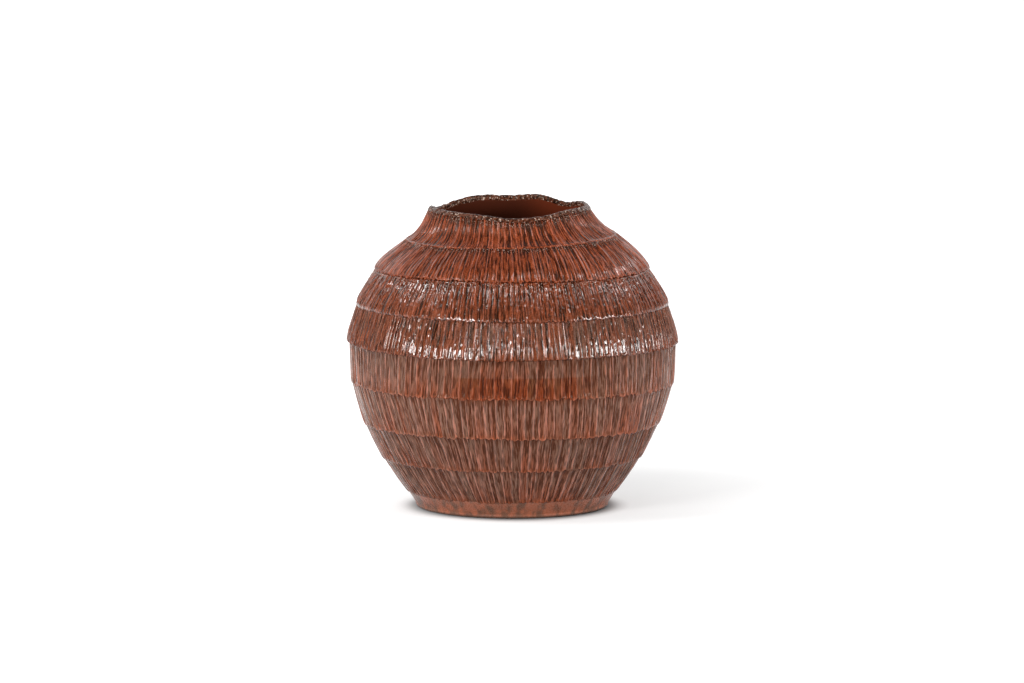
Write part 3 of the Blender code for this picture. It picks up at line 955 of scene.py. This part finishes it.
def lip_glaze():
    """Nearly black iron glaze on the lip, worn to light specks on its lumps."""
    glaze = new_finish("lip_glaze")
    place = glaze.place()
    blotches = glaze.noise(place, size=2.2, detail=3.0, roughness=0.6)
    specks = glaze.noise(place, size=1.6)
    colour = glaze.mix(glaze.ramp(blotches, 0.4, 0.62), LIP_BLACK, LIP_BROWN)
    colour = glaze.mix(glaze.ramp(specks, 0.62, 0.66), colour, LIP_SPECKS)
    return glaze.shader(
        Base_Color=colour,
        Roughness=glaze.ramp(blotches, 0.3, 0.7, 0.15, 0.4),
        Normal=glaze.bump(specks * 0.5 + blotches * 0.5, 0.4),
        IOR=1.24,
        Specular_Tint=(1.0, 0.8, 0.65, 1),
    )


def foot_glaze():
    """The foot's glaze: orange-red patches smeared with grey-brown, darker underneath, and painted
    lighter just above the ground.
    """
    glaze = new_finish("foot_glaze")
    place = glaze.place()
    smears = glaze.noise(glaze.stretched(place, (1.0, 1.0, 0.5)), size=9.0, roughness=0.6)
    strokes = glaze.noise(glaze.stretched(place, (1.0, 1.0, 0.15)), size=4.5, detail=1.0)
    specks = glaze.noise(place, size=0.9, roughness=0.6)
    patches = glaze.ramp(smears * 0.6 + strokes * 0.4, 0.38, 0.58)
    colour = glaze.mix(patches, FOOT_BROWN, FOOT_ORANGE)
    colour = glaze.scaled(colour, 0.55 + 0.3 * specks + 0.6 * strokes)
    # Painted light: the foot half as bright again at the ground, fading out by 10 mm up, for light
    # bounced from the floor
    colour = glaze.scaled(colour, glaze.ramp(glaze.part(place, "Z"), 0.002, 0.010, 1.5, 1.0))
    colour = glaze.mix(glaze.mark("under"), colour, FOOT_UNDERSIDE)
    return glaze.shader(
        Base_Color=colour,
        Roughness=glaze.ramp(specks, 0.3, 0.7, 0.18, 0.4),
        Normal=glaze.bump(smears * 0.7 + specks * 0.3, 0.4),
        IOR=1.42,
    )


def bare_clay():
    """Unglazed fired clay with grog in it."""
    clay = new_finish("bare_clay")
    place = clay.place()
    grog = clay.noise(place, size=0.7, detail=3.0, roughness=0.6)
    colour = clay.mix(clay.noise(place, size=18.0), CLAY, PALE_CLAY)
    colour = clay.mix(clay.ramp(grog, 0.58, 0.7), colour, GROG)
    return clay.shader(
        Base_Color=colour,
        Roughness=clay.ramp(grog, 0.3, 0.7, 0.6, 0.85),
        Normal=clay.bump(grog, 0.3),
    )


WHITE = (1, 1, 1, 1)

# The floor. It ends a little in front of the vase, and is greyer right at the foot: a painted
# contact shadow.
FLOOR_REACH = 30.0
FLOOR_FRONT = 0.37
FLOOR_GREY = 0.5
FLOOR_PAINTED_SHADOW_GREY = 0.2
FLOOR_PAINTED_SHADOW = (0.080, 0.094)

# Its own glow is painted light that keeps the floor near white and the shadows on it light. Left
# off right at the foot, it paints a darker ring there; stronger to the left, it hides a lamp's
# shadow; and rising farther out, it makes the shadow fade. Each part of the glow has its strength,
# and the places in metres between which it sets in: out from the foot, to the left, out in the
# middle distance, in front, and far out. All of it is given to the material in units of
# FLOOR_SHINE.
FLOOR_SHINE = 2.0
FLOOR_GLOW = 0.39
FLOOR_GLOW_FROM = (0.080, 0.103)
FLOOR_LEFT_GLOW = 0.2
FLOOR_LEFT_FROM = (-0.15, 0.05)
FLOOR_MIDDLE_GLOW = 0.35
FLOOR_MIDDLE_FROM = (0.08, 0.45)
FLOOR_AHEAD_GLOW = 0.06
FLOOR_AHEAD_FROM = (-0.12, -0.05)
FLOOR_FAR_GLOW = 0.3
FLOOR_FAR_FROM = (0.3, 2.5)

# The studio: how strongly the white backdrop, the pale ground all round and the dark room glow, and
# how white the camera sees the background. The edges are parts of the way looked in: up or down,
# or to the back.
BACKDROP_GLOW = 1.4
BACKDROP_FOOT_GLOW = 0.4
BACKDROP_TOP_GLOW = 0.2
BACKDROP_RISE = (0.0, 0.3)
BACKDROP_TOP = (0.6, 0.9)
BACKDROP_SIDES = (0.1, 0.5)
GROUND_GLOW = 0.9
GROUND_HORIZON = (-0.02, 0.06)
ROOM_GLOW = 0.02
SEEN_WHITE = 1.1

# The dark gap in the pale ground in front of the floor, which the belly mirrors: the way to its
# middle, and its edges
DARK_GAP_TURN = math.radians(23.0)
DARK_GAP_WAY = (math.sin(DARK_GAP_TURN), -math.cos(DARK_GAP_TURN), 0.0)
DARK_GAP_SIDES = (0.44, 0.50)
DARK_GAP_TOP = (-0.19, -0.165)

# Soft boxes: the turn and rise in degrees at which they stand, seen from the middle of the vase,
# their distance and size in metres, and their power in watts
Softbox = namedtuple("Softbox", "name turn rise away width height power")
SOFTBOXES = (
    Softbox("left_softbox", turn=-37.0, rise=12.0, away=1.6, width=0.60, height=0.42, power=24.5),
    Softbox("right_softbox", turn=63.0, rise=11.0, away=1.6, width=0.75, height=0.34, power=20.0),
    Softbox("middle_softbox", turn=-3.0, rise=26.0, away=1.9, width=0.34, height=0.28, power=3.5),
    Softbox("left_strip", turn=-62.0, rise=50.0, away=1.6, width=0.6, height=0.20, power=9.5),
    Softbox("right_strip", turn=70.0, rise=50.0, away=1.6, width=0.8, height=0.16, power=6.5),
)


def lay_floor():
    """A pale floor whose glow is painted light that keeps shadows on it light, with a painted
    contact shadow at the foot.
    """
    mesh = bpy.data.meshes.new("floor")
    corners = [(-FLOOR_REACH, -FLOOR_FRONT, 0.0), (FLOOR_REACH, -FLOOR_FRONT, 0.0)]
    corners += [(FLOOR_REACH, FLOOR_REACH, 0.0), (-FLOOR_REACH, FLOOR_REACH, 0.0)]
    mesh.from_pydata(corners, [], [(0, 1, 2, 3)])
    floor = bpy.data.objects.new("floor", mesh)
    bpy.context.scene.collection.objects.link(floor)
    paint = new_finish("floor_white")
    place = paint.place()
    away = paint.add("ShaderNodeVectorMath", {"operation": "LENGTH"}, {0: place}, output="Value")
    # Painted light: no glow right at the foot, more to the left where it hides a lamp's shadow, and
    # more farther out where the shadow fades
    near = paint.ramp(away, *FLOOR_GLOW_FROM, 0.0, FLOOR_GLOW)
    left = paint.ramp(paint.part(place, "X"), *FLOOR_LEFT_FROM, FLOOR_LEFT_GLOW, 0.0)
    middle = paint.ramp(away, *FLOOR_MIDDLE_FROM, 0.0, FLOOR_MIDDLE_GLOW)
    ahead = paint.ramp(paint.part(place, "Y"), *FLOOR_AHEAD_FROM, FLOOR_AHEAD_GLOW, 0.0)
    glow = near + left + middle + ahead + paint.ramp(away, *FLOOR_FAR_FROM, 0.0, FLOOR_FAR_GLOW)
    # Painted contact shadow: the floor's grey is darker right at the foot
    grey_with_painted_shadow = paint.ramp(away, *FLOOR_PAINTED_SHADOW, FLOOR_PAINTED_SHADOW_GREY, FLOOR_GREY)
    paint.shader(
        Base_Color=paint.scaled(WHITE, grey_with_painted_shadow),
        Roughness=1.0,
        Emission_Color=paint.scaled(WHITE, glow * (1 / FLOOR_SHINE)),
        Emission_Strength=FLOOR_SHINE,
    )
    mesh.materials.append(paint.owner)


def set_surroundings():
    """A white studio behind the vase and a dark one in front of it; the camera sees plain white."""
    world = bpy.data.worlds.new("studio")
    bpy.context.scene.world = world
    studio = Finish(world)
    studio.tree.nodes.clear()
    way = studio.add("ShaderNodeTexCoord", output="Generated")
    rise = studio.part(way, "Z")
    behind = studio.ramp(rise, *BACKDROP_RISE, BACKDROP_FOOT_GLOW, BACKDROP_GLOW)
    behind = behind * studio.ramp(rise, *BACKDROP_TOP, 1.0, BACKDROP_TOP_GLOW)
    behind = behind * studio.ramp(studio.part(way, "Y"), *BACKDROP_SIDES)
    settings = {"operation": "DOT_PRODUCT"}
    ahead = studio.add("ShaderNodeVectorMath", settings, {0: way, 1: DARK_GAP_WAY}, output="Value")
    gap = studio.ramp(ahead, *DARK_GAP_SIDES) * studio.fall(rise, *DARK_GAP_TOP)
    ground = studio.fall(rise, *GROUND_HORIZON) * (1 - gap)
    glow = behind * (1 - ground) + ground * GROUND_GLOW + ROOM_GLOW
    seen = studio.add("ShaderNodeLightPath", output="Is Camera Ray")
    strength = seen * SEEN_WHITE + (1 - seen) * glow
    light = studio.add("ShaderNodeBackground", None, {"Color": WHITE, "Strength": strength})
    output = studio.tree.nodes.new("ShaderNodeOutputWorld")
    studio.tree.links.new(light.socket, output.inputs["Surface"])


def add_softboxes():
    """The lamps, each turned to the middle of the vase and out of the camera's sight."""
    centre = Vector((0.0, 0.0, RIM_HEIGHT / 2 * MM))
    for box in SOFTBOXES:
        lamp = bpy.data.lights.new(box.name, "AREA")
        lamp.shape = "RECTANGLE"
        lamp.size = box.width
        lamp.size_y = box.height
        lamp.energy = box.power
        turn, rise = math.radians(box.turn), math.radians(box.rise)
        level = math.cos(rise)
        way = Vector((math.sin(turn) * level, -math.cos(turn) * level, math.sin(rise)))
        holder = bpy.data.objects.new(box.name, lamp)
        holder.location = centre + way * box.away
        holder.rotation_euler = way.to_track_quat("Z", "Y").to_euler()
        holder.visible_camera = False
        bpy.context.scene.collection.objects.link(holder)


def add_camera():
    """The camera of the photograph, a little above the vase and far off."""
    lens = bpy.data.cameras.new("camera")
    lens.lens = CAMERA_LENS
    lens.sensor_width = SENSOR_WIDTH
    camera = bpy.data.objects.new("camera", lens)
    camera.location = CAMERA_PLACE
    way = Vector(CAMERA_PLACE) - Vector(CAMERA_TARGET)
    camera.rotation_euler = way.to_track_quat("Z", "Y").to_euler()
    bpy.context.scene.collection.objects.link(camera)
    bpy.context.scene.camera = camera


def build_scene():
    """The vase from the slab up, then what stands round it."""
    add_camera()
    base_slab(bare_clay())
    foot_band(foot_glaze())
    glaze = rust_glaze()
    for index in range(len(COURSES)):
        carved_course(index, glaze)
    lip_coil(lip_glaze())
    lay_floor()
    set_surroundings()
    add_softboxes()
    bpy.context.scene.view_settings.view_transform = "Standard"


build_scene()
